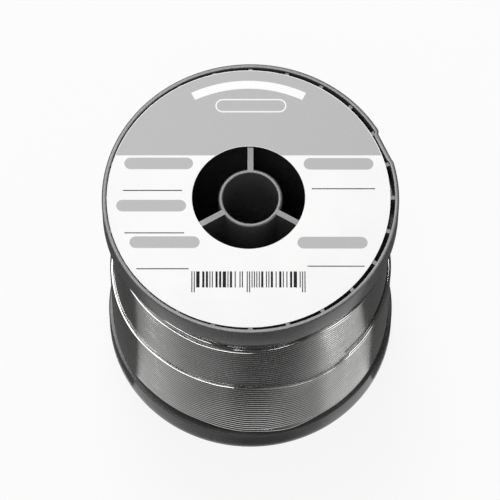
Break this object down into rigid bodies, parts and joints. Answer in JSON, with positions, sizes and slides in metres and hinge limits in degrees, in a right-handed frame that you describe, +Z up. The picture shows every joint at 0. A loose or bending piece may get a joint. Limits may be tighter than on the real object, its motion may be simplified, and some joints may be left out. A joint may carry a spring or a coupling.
{
  "type": "solder wire spool",
  "caption": "Ribbed plastic reel full of thin solder wire, with a paper ring on one flange and a hub bore that turns on a holder's spindle.",
  "frame": {"origin": "middle of the plane that the lower rim stands on, on the reel's axis", "axes": "+Z up along the reel's axis, out of the labelled flange; -Y towards the picture's viewer"},
  "size_m": [0.063, 0.063, 0.0633],
  "materials": {
    "reel_plastic": "dark grey moulded polystyrene, satin",
    "label_paper": "smooth coated white paper, printed in grey and black",
    "solder_wire": "bright drawn tin-silver-copper solder wire"
  },
  "bodies": {
    "root": {"upper_spool_half": "reel_plastic", "lower_spool_half": "reel_plastic", "face_label": "label_paper", "wire_inner_layers": "solder_wire", "wire_third_layer": "solder_wire", "wire_second_layer": "solder_wire", "wire_last_layer": "solder_wire"}
  },
  "joints": []
}
